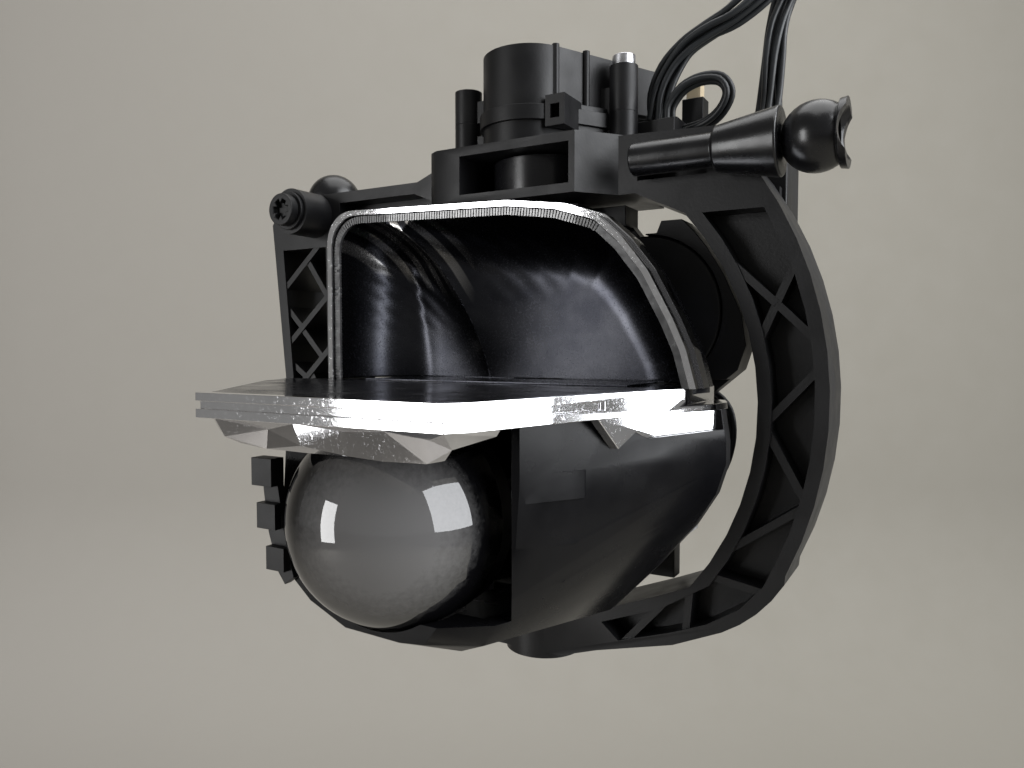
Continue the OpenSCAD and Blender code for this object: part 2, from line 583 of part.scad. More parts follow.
// Louvre blocks left of the lens, on the strip that joins them
module louvre_ring() color([0.07, 0.07, 0.08]) {
  for (s = [[-25.4, -20.4, 46, 5], [-24.2, -19.6, 38.4, 4.6], [-22, -17.6, 31.2, 4.2]])
    box([s[0], -65, s[2]], [s[1], front_lip_y, s[2] + s[3]]);
  upright(-63.5, front_lip_y, [[-24.4, 51], [-24, 45], [-22.9, 37.5], [-20.6, 30.5], [-19, 28.5],
    [-16.8, 30], [-19, 38], [-20.4, 46], [-20.4, 51]]);
}
module shroud() color([0.07, 0.07, 0.08]) difference() {
  union() {
    hull() {
      upright(front_lip_y, front_lip_y + 0.2, lip_outline);
      upright(shroud_y, shroud_y + 0.2, front_outline);
      upright(flange_y0 - 0.2, flange_y0, flange_outline);
    }
    // Louvre ribs on the right cheek
    for (s = [[21.6, 27.6, 31.4, 3], [24.5, 30, 38.4, 3.4], [25.4, 31.3, 46, 4.6]])
      hull() {
        box([s[0] - 3, shroud_y + 1, s[2]], [s[0], shroud_y + 1.6, s[2] + s[3]]);
        box([s[1] - 3, shroud_y + 10.5, s[2]], [s[1], shroud_y + 11, s[2] + s[3]]);
      }
  }
  hull() {
    upright(shroud_y + shroud_wall, shroud_y + shroud_wall + 0.2,
      shrunk(front_outline, [0, 40], 0.88));
    upright(flange_y0, flange_y0 + 0.2, shrunk(flange_outline, [0, 40], 0.93));
  }
  translate([0, lens_y, lens_z]) sphere(r = lens_r + 0.4);
  along_y([0, lens_z], lens_r + 0.4, lens_y, lens_y + 16);
  // Right edge of the opening, cut back so that the lens stands clear of it
  translate([0, 0, 26]) linear_extrude(40)
    polygon([[0, -70], [30, -70], [23.6, shroud_y], [17.6, -46.5], [8, -46.5]]);
  // Notch that the bezel's flank drops into
  flank(1.9, 10);
}
module projector_reflector() color([0.8, 0.8, 0.82]) difference() {
  translate([0, flange_y0, 38]) rotate([90, 0, 0]) cylinder(r1 = 17, r2 = 13, h = 24);
  translate([0, flange_y0 + 1, 38]) rotate([90, 0, 0]) cylinder(r1 = 15.7, r2 = 11.4, h = 26);
}
module cutoff_shade() color([0.3, 0.3, 0.32]) box([-12, -44, 27], [12, -42.6, 38]);
module led_boards() color([0.1, 0.3, 0.18]) {
  box([-16, -16.5, 28], [16, -14.9, 48]);
  translate([0, 0, shelf_z0]) linear_extrude(led_t)
    polygon([[-38, -12.6], [31, -5], [31, -3.4], [-33, -3.4]]);
}
module led_chips() color([0.95, 0.85, 0.3]) {
  for (x = [-6, 0, 6]) box([x - 1.5, -17.6, 36.5], [x + 1.5, -16.5, 39.5]);
  for (x = chip_x) box([x - 1.2, -7, shelf_z0 + led_t], [x + 1.2, -4.9, shelf_z0 + led_t + 1]);
}
module rear_bulkhead() color([0.16, 0.16, 0.17]) along_y([25, 78], 16.5, -1.6, housing_y0);
module heat_sink() color([0.5, 0.5, 0.52]) {
  box([-30, housing_y1, sink_z0], [30, sink_y, sink_z1]);
  for (i = [-6:6]) let (x = i * fin_pitch)
    box([x - fin_t / 2, sink_y - 1, sink_z0], [x + fin_t / 2, fan_y0, sink_z1]);
}
module fan_housing() color([0.09, 0.09, 0.1]) union() {
  fan_frame();
  along_y([0, fan_z], axle_r, fan_y0, fan_y0 + 4.8);
}
module fan_frame() difference() {
  box([-25, fan_y0, fan_z - 25], [25, fan_y0 + fan_depth, fan_z + 25]);
  along_y([0, fan_z], fan_r + 1, fan_y0 + 1.5, fan_y0 + fan_depth + 1);
  difference() {
    along_y([0, fan_z], fan_r, fan_y0 - 1, fan_y0 + 2);
    along_y([0, fan_z], 8, fan_y0 - 2, fan_y0 + 3);
    for (k = [0:2]) translate([0, fan_y0 - 1, fan_z]) rotate([0, 120 * k + 15, 0])
      translate([0, 0, -1.5]) cube([fan_r + 3, 4, 3]);
  }
  for (x = [-screw_pitch, screw_pitch]) for (z = [-screw_pitch, screw_pitch])
    along_y([x, fan_z + z], bolt_shank_r + fit_gap, fan_y0 - 1, fan_y0 + fan_depth + 1);
}
module fan_rotor() color([0.12, 0.12, 0.13]) difference() {
  union() {
    along_y([0, fan_z], 8.5, fan_y0 + 1.9, fan_y0 + fan_depth - 0.5);
    for (k = [0:6]) translate([0, fan_y0 + 5.8, fan_z]) rotate([0, 360 / 7 * k, 0])
      rotate([38, 0, 0]) translate([7.5, -0.6, -4]) cube([fan_r - 8, 1.2, 8]);
  }
  along_y([0, fan_z], axle_r + run_gap, fan_y0, fan_y0 + 5);
}
module module_screws() color([0.75, 0.75, 0.77])
  for (x = [-screw_pitch, screw_pitch]) for (z = [-screw_pitch, screw_pitch]) {
    along_y([x, fan_z + z], 2.6, fan_y0 + fan_depth, fan_y0 + fan_depth + 1.8);
    along_y([x, fan_z + z], bolt_shank_r, fan_y0, fan_y0 + fan_depth + 0.1);
  }
module module_lead() color([0.05, 0.05, 0.05]) sweep(lead_route, lead_d, 8);

carrier_frame();
lower_bush();
upper_bush();
actuator_base();
actuator_cover();
actuator_bolts();
motor_can();
actuator_board();
actuator_plug();
plug_latch();
socket_rod();
ball_socket();
pivot_ball();
pivot_screw();
pivot_washer();
rear_connector();
wire_harness();
wire_loop();
motor_pinion();
idler_gear();
output_drum();
module_housing();
lower_trunnion();
reflector();
reflector_rim();
light_guide();
shelf_plate();
shelf_bezel();
front_skirt();
lens();
lens_retainer();
louvre_ring();
shroud();
projector_reflector();
led_boards();
led_chips();
cutoff_shade();
rear_bulkhead();
heat_sink();
fan_housing();
fan_rotor();
module_screws();
module_lead();
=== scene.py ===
import math

import bmesh
import bpy
from mathutils import Matrix, Vector


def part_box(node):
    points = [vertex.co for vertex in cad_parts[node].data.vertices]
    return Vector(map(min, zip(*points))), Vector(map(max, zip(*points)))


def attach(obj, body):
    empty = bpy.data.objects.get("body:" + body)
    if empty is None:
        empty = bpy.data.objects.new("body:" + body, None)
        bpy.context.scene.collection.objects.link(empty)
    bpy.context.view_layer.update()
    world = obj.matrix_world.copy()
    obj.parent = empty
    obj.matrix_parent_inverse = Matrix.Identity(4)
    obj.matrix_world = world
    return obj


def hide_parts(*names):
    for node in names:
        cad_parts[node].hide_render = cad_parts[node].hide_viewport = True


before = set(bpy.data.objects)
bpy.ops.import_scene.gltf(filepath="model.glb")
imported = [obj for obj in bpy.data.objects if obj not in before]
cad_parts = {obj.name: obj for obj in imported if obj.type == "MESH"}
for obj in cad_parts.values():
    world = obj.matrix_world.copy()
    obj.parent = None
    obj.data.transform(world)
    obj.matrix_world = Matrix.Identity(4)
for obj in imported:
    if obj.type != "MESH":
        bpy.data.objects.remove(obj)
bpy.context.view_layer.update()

mm = 0.001

# ---------------------------------------------------------------------------
# Camera. A phone lens held just right of the lamp, level with the shelf and
# looking slightly down across it.
camera_place = Vector((83.4, -160.0, 70.7)) * mm
camera_turn, camera_dip = math.radians(30), math.radians(2.76)
camera_data = bpy.data.cameras.new("camera")
camera_data.sensor_width, camera_data.lens = 36, 27
camera_data.clip_start, camera_data.clip_end = 0.005, 10
camera = bpy.data.objects.new("camera", camera_data)
camera.location = camera_place
camera.rotation_euler = (math.pi / 2 - camera_dip, 0, camera_turn)
bpy.context.collection.objects.link(camera)
bpy.context.scene.camera = camera


# ---------------------------------------------------------------------------
# Wiring. Eight thin PVC-covered wires leave the actuator's plug, loop over and
# drop into the connector behind the frame's right arm. They are held together
# only by their own stiffness, so they spread a little on the way.
def link(socket_from, socket_to, tree):
    tree.links.new(socket_from, socket_to)


def new_material(name):
    material = bpy.data.materials.new(name)
    material.use_nodes = True
    shader = material.node_tree.nodes["Principled BSDF"]
    coordinates = material.node_tree.nodes.new("ShaderNodeTexCoord")
    return material, material.node_tree, shader, coordinates.outputs["Object"]


def noise(tree, where, scale, detail=3, roughness=0.5):
    node = tree.nodes.new("ShaderNodeTexNoise")
    node.inputs["Scale"].default_value = scale
    node.inputs["Detail"].default_value = detail
    node.inputs["Roughness"].default_value = roughness
    link(where, node.inputs["Vector"], tree)
    return node.outputs["Fac"]


def ranged(tree, value, low, high, start=0.3, end=0.7):
    node = tree.nodes.new("ShaderNodeMapRange")
    node.inputs["From Min"].default_value, node.inputs["From Max"].default_value = start, end
    node.inputs["To Min"].default_value, node.inputs["To Max"].default_value = low, high
    link(value, node.inputs["Value"], tree)
    return node.outputs["Result"]


def toned(tree, value, dark, light, start=0.35, end=0.65):
    node = tree.nodes.new("ShaderNodeValToRGB")
    node.color_ramp.elements[0].position, node.color_ramp.elements[1].position = start, end
    node.color_ramp.elements[0].color = (*dark, 1)
    node.color_ramp.elements[1].color = (*light, 1)
    link(value, node.inputs["Fac"], tree)
    return node.outputs["Color"]


def bumped(tree, value, strength, depth, normal=None):
    node = tree.nodes.new("ShaderNodeBump")
    node.inputs["Strength"].default_value = strength
    node.inputs["Distance"].default_value = depth
    link(value, node.inputs["Height"], tree)
    if normal is not None:
        link(normal, node.inputs["Normal"], tree)
    return node.outputs["Normal"]


def moulded_plastic(name, dark, light, roughness, grain, depth, specular=0.5):
    """Injection-moulded plastic: spark-eroded grain, cloudy sheen and a little settled dust."""
    material, tree, shader, where = new_material(name)
    patches = noise(tree, where, 60, 4)
    specks = noise(tree, where, 1 / grain, 2, 0.6)
    link(toned(tree, patches, dark, light), shader.inputs["Base Color"], tree)
    link(ranged(tree, noise(tree, where, 140, 5), *roughness), shader.inputs["Roughness"], tree)
    link(bumped(tree, specks, 0.35, depth), shader.inputs["Normal"], tree)
    shader.inputs["Specular IOR Level"].default_value = specular
    return material


wire_skin = moulded_plastic("wire_skin", (0.005, 0.006, 0.007), (0.012, 0.014, 0.016),
                            (0.36, 0.52), 0.0009, 0.00008, 0.35)
wire_r = 0.7 * mm


def smooth_route(points, steps):
    """A Catmull-Rom curve through the points."""
    points = [Vector(p) for p in points]
    ends = [points[0] * 2 - points[1]] + points + [points[-1] * 2 - points[-2]]
    route = []
    for i in range(1, len(ends) - 2):
        a, b, c, d = ends[i - 1:i + 3]
        for k in range(steps):
            t = k / steps
            route.append(0.5 * (2 * b + (c - a) * t + (2 * a - 5 * b + 4 * c - d) * t * t
                                + (3 * b - a - 3 * c + d) * t ** 3))
    return route + [points[-1]]


def offset_route(points, across, up):
    """The same route moved sideways by so much at each point, square to its run."""
    moved = []
    for i, p in enumerate(points):
        run = (points[min(i + 1, len(points) - 1)] - points[max(i - 1, 0)]).normalized()
        side = run.cross(Vector((0.1, 1, 0.2))).normalized()
        moved.append(p + side * across[i] + run.cross(side) * up[i])
    return moved


def wire(name, route, body, node, radius=wire_r):
    """One wire as a free cord: a round curve along the route."""
    curve = bpy.data.curves.new(name, "CURVE")
    curve.dimensions = "3D"
    curve.bevel_depth, curve.bevel_resolution = radius, 4
    curve.use_fill_caps = True
    spline = curve.splines.new("POLY")
    spline.points.add(len(route) - 1)
    for point, place in zip(spline.points, route):
        point.co = (*place, 1)
    spline.use_smooth = True
    piece = bpy.data.objects.new(name, curve)
    bpy.context.collection.objects.link(piece)
    curve.materials.append(wire_skin)
    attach(piece, body)
    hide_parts(node)
    return piece


harness_route = [Vector(p) * mm for p in (
    (23.5, 11, 122), (23.8, 11.2, 128), (25.8, 11.6, 133.5), (29.4, 12, 138), (34, 12.3, 140.8),
    (39.5, 12.6, 143), (45, 13.4, 147), (49.5, 15.5, 152), (51.5, 19.5, 155.3),
    (50.5, 23.5, 154), (48, 25, 149), (46.4, 24, 142.5), (46, 22, 135), (46, 20, 126),
    (46, 18, 119), (46, 17, 112))]
wire_count = 8
for i in range(wire_count):
    turn = 2 * math.pi * i / (wire_count - 1)
    reach = 0 if i == wire_count - 1 else 2.25 * mm
    along = range(len(harness_route))
    spread = [reach * (0.9 + 0.22 * math.sin(1.3 * k + 2.1 * i)) for k in along]
    across = [s * math.cos(turn + 0.16 * k) for k, s in zip(along, spread)]
    up = [s * math.sin(turn + 0.16 * k) for k, s in zip(along, spread)]
    wire(f"harness_wire_{i + 1}", smooth_route(offset_route(harness_route, across, up), 4),
         "frame", "wire_harness")

# A short tail of three wires doubles back into the side of the same plug.
tail_route = [Vector(p) * mm for p in (
    (27, 7, 121), (27.3, 7, 124), (30, 7.2, 127.4), (34, 7.6, 128.9), (38, 8.2, 128.4),
    (39.6, 9, 125.6), (37.8, 10.2, 122.4), (34, 11.5, 120.3), (28.5, 12.5, 119.5))]
for i, (a, b) in enumerate(((0, 0.85), (0.75, -0.5), (-0.75, -0.5))):
    count = len(tail_route)
    wire(f"tail_wire_{i + 1}", smooth_route(
        offset_route(tail_route, [a * mm] * count, [b * mm] * count), 4), "frame", "wire_loop")

# Two wires feed the lamp module from behind and swing with it.
lead_route = [Vector(p) * mm for p in (
    (30, 8, 62), (36, 8, 61), (41, 6, 57), (42, 4, 50), (39, 4, 43), (31, 4, 40))]
for i, side in enumerate((-0.75, 0.75)):
    count = len(lead_route)
    wire(f"module_wire_{i + 1}", smooth_route(
        offset_route(lead_route, [side * mm] * count, [0] * count), 5), "module", "module_lead")


# ---------------------------------------------------------------------------
# Carrier frame. One black glass-filled moulding: a ring of two thin walls with
# bracing ribs, a top bar with a window, a foot with the lower bearing and an
# ear for the pivot screw. Its outside has a fine eroded grain.
def piece_from(name, mesh, body, slot, material, *nodes):
    """Links a finished mesh, gives it its material and hangs it on its body."""
    piece = bpy.data.objects.new(name, mesh)
    bpy.context.collection.objects.link(piece)
    mesh.materials.clear()
    mesh.materials.append(material)
    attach(piece, body)
    if nodes:
        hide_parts(*nodes)
    return piece


def sharpened(build, angle=32):
    """Smooth faces, with the edges that turn by more than the angle left sharp."""
    for face in build.faces:
        face.smooth = True
    for edge in build.edges:
        if len(edge.link_faces) == 2:
            edge.smooth = edge.calc_face_angle(0) < math.radians(angle)


def softened(node, name, body, slot, material, width=0.3, segments=2):
    """A copy of a CAD node with its edges rounded, as a moulding's are."""
    build = bmesh.new()
    build.from_mesh(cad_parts[node].data)
    bmesh.ops.remove_doubles(build, verts=build.verts, dist=0.002 * mm)
    bmesh.ops.dissolve_limit(build, angle_limit=math.radians(1), verts=build.verts,
                             edges=build.edges)
    sharpened(build)
    mesh = bpy.data.meshes.new(name)
    build.to_mesh(mesh)
    build.free()
    piece = piece_from(name, mesh, body, slot, material, node)
    bevel = piece.modifiers.new("rounded", "BEVEL")
    bevel.width, bevel.segments = width * mm, segments
    bevel.limit_method, bevel.angle_limit = "ANGLE", math.radians(32)
    bevel.harden_normals = True
    return piece


frame_black = moulded_plastic("frame_black", (0.003, 0.003, 0.0035), (0.0065, 0.0065, 0.0072),
                              (0.34, 0.5), 0.00055, 0.00006, 0.3)
softened("carrier_frame", "ribbed_carrier", "frame", "frame_black", frame_black, 0.45, 3)

# ---------------------------------------------------------------------------
# Swivel bearings. Natural acetal bushes pressed into the foot and the bar, a
# turned steel pin below and the glossy output drum that fills the bar's window.
gloss_black = moulded_plastic("gloss_black", (0.0035, 0.0035, 0.004), (0.006, 0.006, 0.007),
                              (0.2, 0.34), 0.0012, 0.00003, 0.42)
satin_black = moulded_plastic("satin_black", (0.003, 0.003, 0.0035), (0.0065, 0.0065, 0.0072),
                              (0.36, 0.52), 0.0005, 0.00005, 0.3)
natural_acetal = moulded_plastic("natural_acetal", (0.62, 0.58, 0.48), (0.72, 0.68, 0.58),
                                 (0.35, 0.5), 0.001, 0.00003)


def turned_metal(name, colour, roughness):
    """Plated steel: fine turning marks round it and cloudy plating."""
    material, tree, shader, where = new_material(name)
    shader.inputs["Metallic"].default_value = 1
    link(toned(tree, noise(tree, where, 250, 4), colour, [min(1, c * 1.2) for c in colour]),
         shader.inputs["Base Color"], tree)
    link(ranged(tree, noise(tree, where, 500, 5), *roughness), shader.inputs["Roughness"], tree)
    link(bumped(tree, noise(tree, where, 2500, 2), 0.15, 0.00002), shader.inputs["Normal"], tree)
    return material


zinc_steel = turned_metal("zinc_steel", (0.55, 0.55, 0.57), (0.22, 0.4))
softened("lower_bush", "lower_bearing_bush", "frame", "bush_plastic", natural_acetal, 0.2)
softened("upper_bush", "upper_bearing_bush", "frame", "bush_plastic", natural_acetal, 0.2)
softened("lower_trunnion", "lower_pivot_pin", "module", "steel", zinc_steel, 0.25)
softened("output_drum", "swivel_drum", "module", "gloss_black", gloss_black, 0.12)

# ---------------------------------------------------------------------------
# Actuator. A two-part black case screwed on the bar, with a small motor and
# two acetal gears inside.
softened("actuator_base", "actuator_lower_case", "frame", "satin_black", satin_black, 0.35)
softened("actuator_cover", "actuator_upper_case", "frame", "satin_black", satin_black, 0.6, 3)
softened("actuator_bolts", "case_bolts", "frame", "steel", zinc_steel, 0.25)
softened("actuator_plug", "actuator_plug_body", "frame", "satin_black", satin_black, 0.3)
beige = moulded_plastic("beige_plastic", (0.55, 0.45, 0.3), (0.66, 0.56, 0.4), (0.4, 0.55),
                        0.001, 0.00003)
softened("plug_latch", "plug_lock", "frame", "beige_plastic", beige, 0.2)
softened("motor_can", "stepper_can", "frame", "steel", zinc_steel, 0.3)
softened("motor_pinion", "stepper_pinion", "motor", "steel", zinc_steel, 0.04, 1)
white_acetal = moulded_plastic("white_acetal", (0.74, 0.74, 0.68), (0.82, 0.82, 0.77),
                               (0.32, 0.45), 0.001, 0.00003)
softened("idler_gear", "compound_gear", "idler", "gear_plastic", white_acetal, 0.04, 1)
green_board = moulded_plastic("green_board", (0.01, 0.08, 0.035), (0.02, 0.13, 0.06),
                              (0.25, 0.4), 0.0008, 0.00004)
softened("actuator_board", "driver_board", "frame", "board", green_board, 0.1)

# ---------------------------------------------------------------------------
# Aiming socket, pivot knuckle and its screw. Glossy black nylon: a rod with a
# split snap socket pressed over a ball stud, and a domed knuckle held to the
# frame's ear by a star-drive screw on a washer.
softened("socket_rod", "aiming_rod", "frame", "gloss_black", gloss_black, 0.6, 3)
softened("ball_socket", "snap_socket", "frame", "gloss_black", gloss_black, 0.5, 3)
softened("pivot_ball", "pivot_knuckle", "frame", "gloss_black", gloss_black, 0.3)
softened("pivot_screw", "star_screw", "frame", "satin_black", satin_black, 0.25)
softened("pivot_washer", "ear_washer", "frame", "satin_black", satin_black, 0.2)
softened("rear_connector", "rear_plug_body", "frame", "satin_black", satin_black, 0.5)


# ---------------------------------------------------------------------------
# Reflector chamber. A thin metallised shell with two scoops and fine slanting flutes, its colour
# painted near black as painted shade for the dark room it reflects, clipped behind a bright
# metallised rim with a second bead.
def grid_mesh(name, rows, closed=False):
    """Quads between rows of points of equal length."""
    build = bmesh.new()
    made = [[build.verts.new(p) for p in row] for row in rows]
    count = len(rows[0])
    for low, high in zip(made, made[1:]):
        for k in range(count if closed else count - 1):
            n = (k + 1) % count
            build.faces.new((low[k], low[n], high[n], high[k]))
    bmesh.ops.recalc_face_normals(build, faces=build.faces)
    sharpened(build)
    mesh = bpy.data.meshes.new(name)
    build.to_mesh(mesh)
    build.free()
    return mesh


def metallised(name, dark, light, roughness, scratch=0.12):
    """Vacuum-metallised plastic: a mirror with dust, haze and faint wiping marks."""
    material, tree, shader, where = new_material(name)
    shader.inputs["Metallic"].default_value = 1
    link(toned(tree, noise(tree, where, 90, 6, 0.6), dark, light), shader.inputs["Base Color"],
         tree)
    dust = noise(tree, where, 1800, 2, 0.7)
    link(ranged(tree, dust, roughness[0], roughness[1], 0.55, 0.8), shader.inputs["Roughness"],
         tree)
    wave = noise(tree, where, 45, 2)
    link(bumped(tree, wave, scratch, 0.0004), shader.inputs["Normal"], tree)
    return material


# Painted shade: the mirror's base colour is kept near black to stand in for the dark room it
# reflects.
shade_darkened_mirror = metallised("shade_darkened_mirror", (0.028, 0.029, 0.035), (0.048, 0.049, 0.056),
                           (0.26, 0.4), 0.04)
bright_chrome = metallised("bright_chrome", (0.82, 0.82, 0.84), (0.9, 0.9, 0.92), (0.06, 0.2))

# Painted reflection: slanting bars of light grey painted into the base colour in the chamber's
# upper left corner, standing in for the room's light caught by the flutes.
tree = shade_darkened_mirror.node_tree
shader = tree.nodes["Principled BSDF"]
flute_lean, flute_pitch = 0.55, 4.4 * mm
place = tree.nodes.new("ShaderNodeSeparateXYZ")
link(tree.nodes["Texture Coordinate"].outputs["Object"], place.inputs["Vector"], tree)


def combined(operation, a, b):
    """One Math node between two values, each a socket or a number."""
    node = tree.nodes.new("ShaderNodeMath")
    node.operation = operation
    for k, value in enumerate((a, b)):
        if isinstance(value, (int, float)):
            node.inputs[k].default_value = value
        else:
            link(value, node.inputs[k], tree)
    return node.outputs["Value"]


slant = combined("ADD", place.outputs["X"], combined("MULTIPLY", place.outputs["Z"], flute_lean))
wave = combined("SINE", combined("MULTIPLY", slant, 2 * math.pi / flute_pitch), 0)
bars = ranged(tree, wave, 0, 1, -0.1, 0.25)
high = ranged(tree, combined("SUBTRACT", place.outputs["Z"], combined(
    "MULTIPLY", place.outputs["X"], -0.35)), 0, 1, 0.0745, 0.08)
left = ranged(tree, place.outputs["X"], 1, 0, -0.021, -0.013)
lit = combined("MULTIPLY", bars, combined("MULTIPLY", high, left))
painted_reflection_mix = tree.nodes.new("ShaderNodeMixRGB")
base_socket = shader.inputs["Base Color"]
link(base_socket.links[0].from_socket, painted_reflection_mix.inputs["Color1"], tree)
painted_reflection_mix.inputs["Color2"].default_value = (0.42, 0.41, 0.4, 1)
link(lit, painted_reflection_mix.inputs["Fac"], tree)
link(painted_reflection_mix.outputs["Color"], base_socket, tree)

# The rim's outline, X against Z, from its right foot over the top to the left.
rim_path = [(43.5, 63.2), (41.6, 70.2), (39, 76), (34.2, 84.9), (29.3, 91.1), (24.2, 95.8),
            (15.7, 98.6), (4.4, 100.2)]
rim_path += [(-37 + 7 * math.cos(math.radians(a)), 94.7 + 7 * math.sin(math.radians(a)))
             for a in (85, 100, 117, 133, 149, 165, 180)] + [(-44, 63.2)]
back_path = [(30, 63.2), (30, 74), (24, 86), (14, 92), (-26, 93), (-33, 88), (-34, 63.2)]


def run_along(path, fractions):
    """Points at the given fractions of a path's length."""
    spans = [math.dist(a, b) for a, b in zip(path, path[1:])]
    total, found = sum(spans), []
    for f in fractions:
        left, k = f * total, 0
        while k < len(spans) - 1 and left > spans[k]:
            left -= spans[k]
            k += 1
        t = min(1, left / spans[k])
        found.append(tuple(a + (b - a) * t for a, b in zip(path[k], path[k + 1])))
    return found


def rounded_path(path, count, passes=3):
    """The path resampled and eased, so that a curve drawn by few points reads as one."""
    points = run_along(path, [i / (count - 1) for i in range(count)])
    for _ in range(passes):
        points = [points[0]] + [tuple((a + 2 * b + c) / 4 for a, b, c in zip(*trio))
                                for trio in zip(points, points[1:], points[2:])] + [points[-1]]
    return points


rim_y, chamber_depth, shelf_top = -24, 18.6, 63.2
rim_curve = rounded_path(rim_path, 380)
ridge_foot, ridge_head = (-11, shelf_top), (-27, 99.5)


def bowl_depth(x, z, reach):
    """How far behind the rim the mirror lies: two scoops that meet on a curved crest."""
    bowl = chamber_depth * math.sqrt(max(0, 1 - (1 - min(1, reach / 15)) ** 2))
    rise = (z - ridge_foot[1]) / (ridge_head[1] - ridge_foot[1])
    crest_x = ridge_foot[0] + (ridge_head[0] - ridge_foot[0]) * rise ** 1.7
    crest_width = 9 if x > crest_x else 6
    crest = (1.5 + 11 * max(0, rise) ** 1.2) * math.exp(-abs(x - crest_x) / crest_width)
    lean = 1.15 - 0.0095 * (x + 44)
    flute = 0.5 - 0.5 * math.cos((x + lean * (z - shelf_top)) * 2 * math.pi / 4.2)
    fade = min(1, max(0, (z - 70 - 0.25 * abs(x + 40)) / 14)) * min(1, reach / 3)
    return max(0.0, bowl - min(crest, bowl * 0.85) - 0.12 * flute * fade)


bowl_rows = []
hub = (-3.0, shelf_top + 0.5)
steps = [1 - (1 - i / 130) ** 1.25 for i in range(131)]
for t in steps:
    row = []
    for x, z in rim_curve:
        px, pz = hub[0] + (x * 0.965 - hub[0]) * (1 - t), hub[1] + (z - 1.2 - hub[1]) * (1 - t)
        pz = max(pz, shelf_top + 0.5)
        reach = math.hypot(x - hub[0], z - hub[1]) * t
        row.append(Vector((px, rim_y + bowl_depth(px, pz, reach), pz)) * mm)
    bowl_rows.append(row)
back_curve = rounded_path(back_path, 380, 2)
rim_side_y, back_y = -14, -3
shell_rows = [[Vector((x, y, z)) * mm for x, z in rim_curve] for y in (rim_y, rim_side_y)]
for t in (0.5, 1):
    shell_rows.append([Vector((a + (c - a) * t, rim_side_y + (back_y - rim_side_y) * t,
                               b + (d - b) * t)) * mm
                       for (a, b), (c, d) in zip(rim_curve, back_curve)])
shell_rows.append([Vector((x * 0.2, back_y, shelf_top + (z - shelf_top) * 0.2)) * mm
                   for x, z in back_curve])
chamber = bmesh.new()
for part in (grid_mesh("bowl", bowl_rows), grid_mesh("shell", shell_rows)):
    chamber.from_mesh(part)
    bpy.data.meshes.remove(part)
sharpened(chamber, 24)
floor_lo, floor_hi = Vector((-34, rim_y, shelf_top + 0.05)), Vector((30, -7.8, shelf_top + 0.3))
floor_place = Matrix.LocRotScale((floor_lo + floor_hi) / 2 * mm, None, (floor_hi - floor_lo) * mm)
bmesh.ops.create_cube(chamber, size=1, matrix=floor_place)
chamber_mesh = bpy.data.meshes.new("chamber_shell")
chamber.to_mesh(chamber_mesh)
chamber.free()
piece_from("chamber_shell", chamber_mesh, "module", "dark_chrome", shade_darkened_mirror, "reflector")


def swept_band(name, path, y_front, y_back, inner, outer, centre=(0, 61.2)):
    """A flat band along the rim: between two scalings of the path, square in section."""
    rows = []
    for k, y in ((outer, y_front), (inner, y_front), (inner, y_back), (outer, y_back),
                 (outer, y_front)):
        rows.append([Vector((centre[0] + (x - centre[0]) * k, y, centre[1] + (z - centre[1]) * k))
                     * mm for x, z in path])
    return grid_mesh(name, rows)


piece_from("chrome_rim", swept_band("chrome_rim", rim_curve, -25.4, -24, 0.972, 1.0),
           "module", "bright_chrome", bright_chrome, "reflector_rim")
bead_points = 220  # the bead runs up the right side and over the top only
piece_from("outer_bead", swept_band("outer_bead", rim_curve[:bead_points], -22, -18.5, 0.98,
                                    1.012), "module", "bright_chrome", bright_chrome)

# The light guide is a clear strip let in inside the rim, with fine prism teeth
# moulded along its front.
guide_clear, tree, shader, where = new_material("guide_clear")
link(toned(tree, noise(tree, where, 300, 3), (0.05, 0.05, 0.052), (0.09, 0.09, 0.092)),
     shader.inputs["Base Color"], tree)
link(ranged(tree, noise(tree, where, 700, 3), 0.12, 0.3), shader.inputs["Roughness"], tree)
shader.inputs["Coat Weight"].default_value = 0.6


def node_group(name, sockets):
    group = bpy.data.node_groups.new(name, "GeometryNodeTree")
    group.interface.new_socket("Geometry", in_out="INPUT", socket_type="NodeSocketGeometry")
    keys = {}
    for label, kind in sockets:
        item = group.interface.new_socket(label, in_out="INPUT", socket_type=kind)
        keys[label] = item.identifier
    group.interface.new_socket("Geometry", in_out="OUTPUT", socket_type="NodeSocketGeometry")
    return group, group.nodes.new("NodeGroupInput"), group.nodes.new("NodeGroupOutput"), keys


def repeated(name, base, group, keys, values):
    """Runs a repeating node group on the base mesh and returns the plain mesh that it makes."""
    holder = bpy.data.objects.new(name, base)
    bpy.context.collection.objects.link(holder)
    modifier = holder.modifiers.new("repeat", "NODES")
    modifier.node_group = group
    for label, value in values.items():
        modifier[keys[label]] = value
    bpy.context.view_layer.update()
    made = bpy.data.meshes.new_from_object(
        holder.evaluated_get(bpy.context.evaluated_depsgraph_get()))
    holder.modifiers.clear()
    bpy.data.objects.remove(holder)
    return made


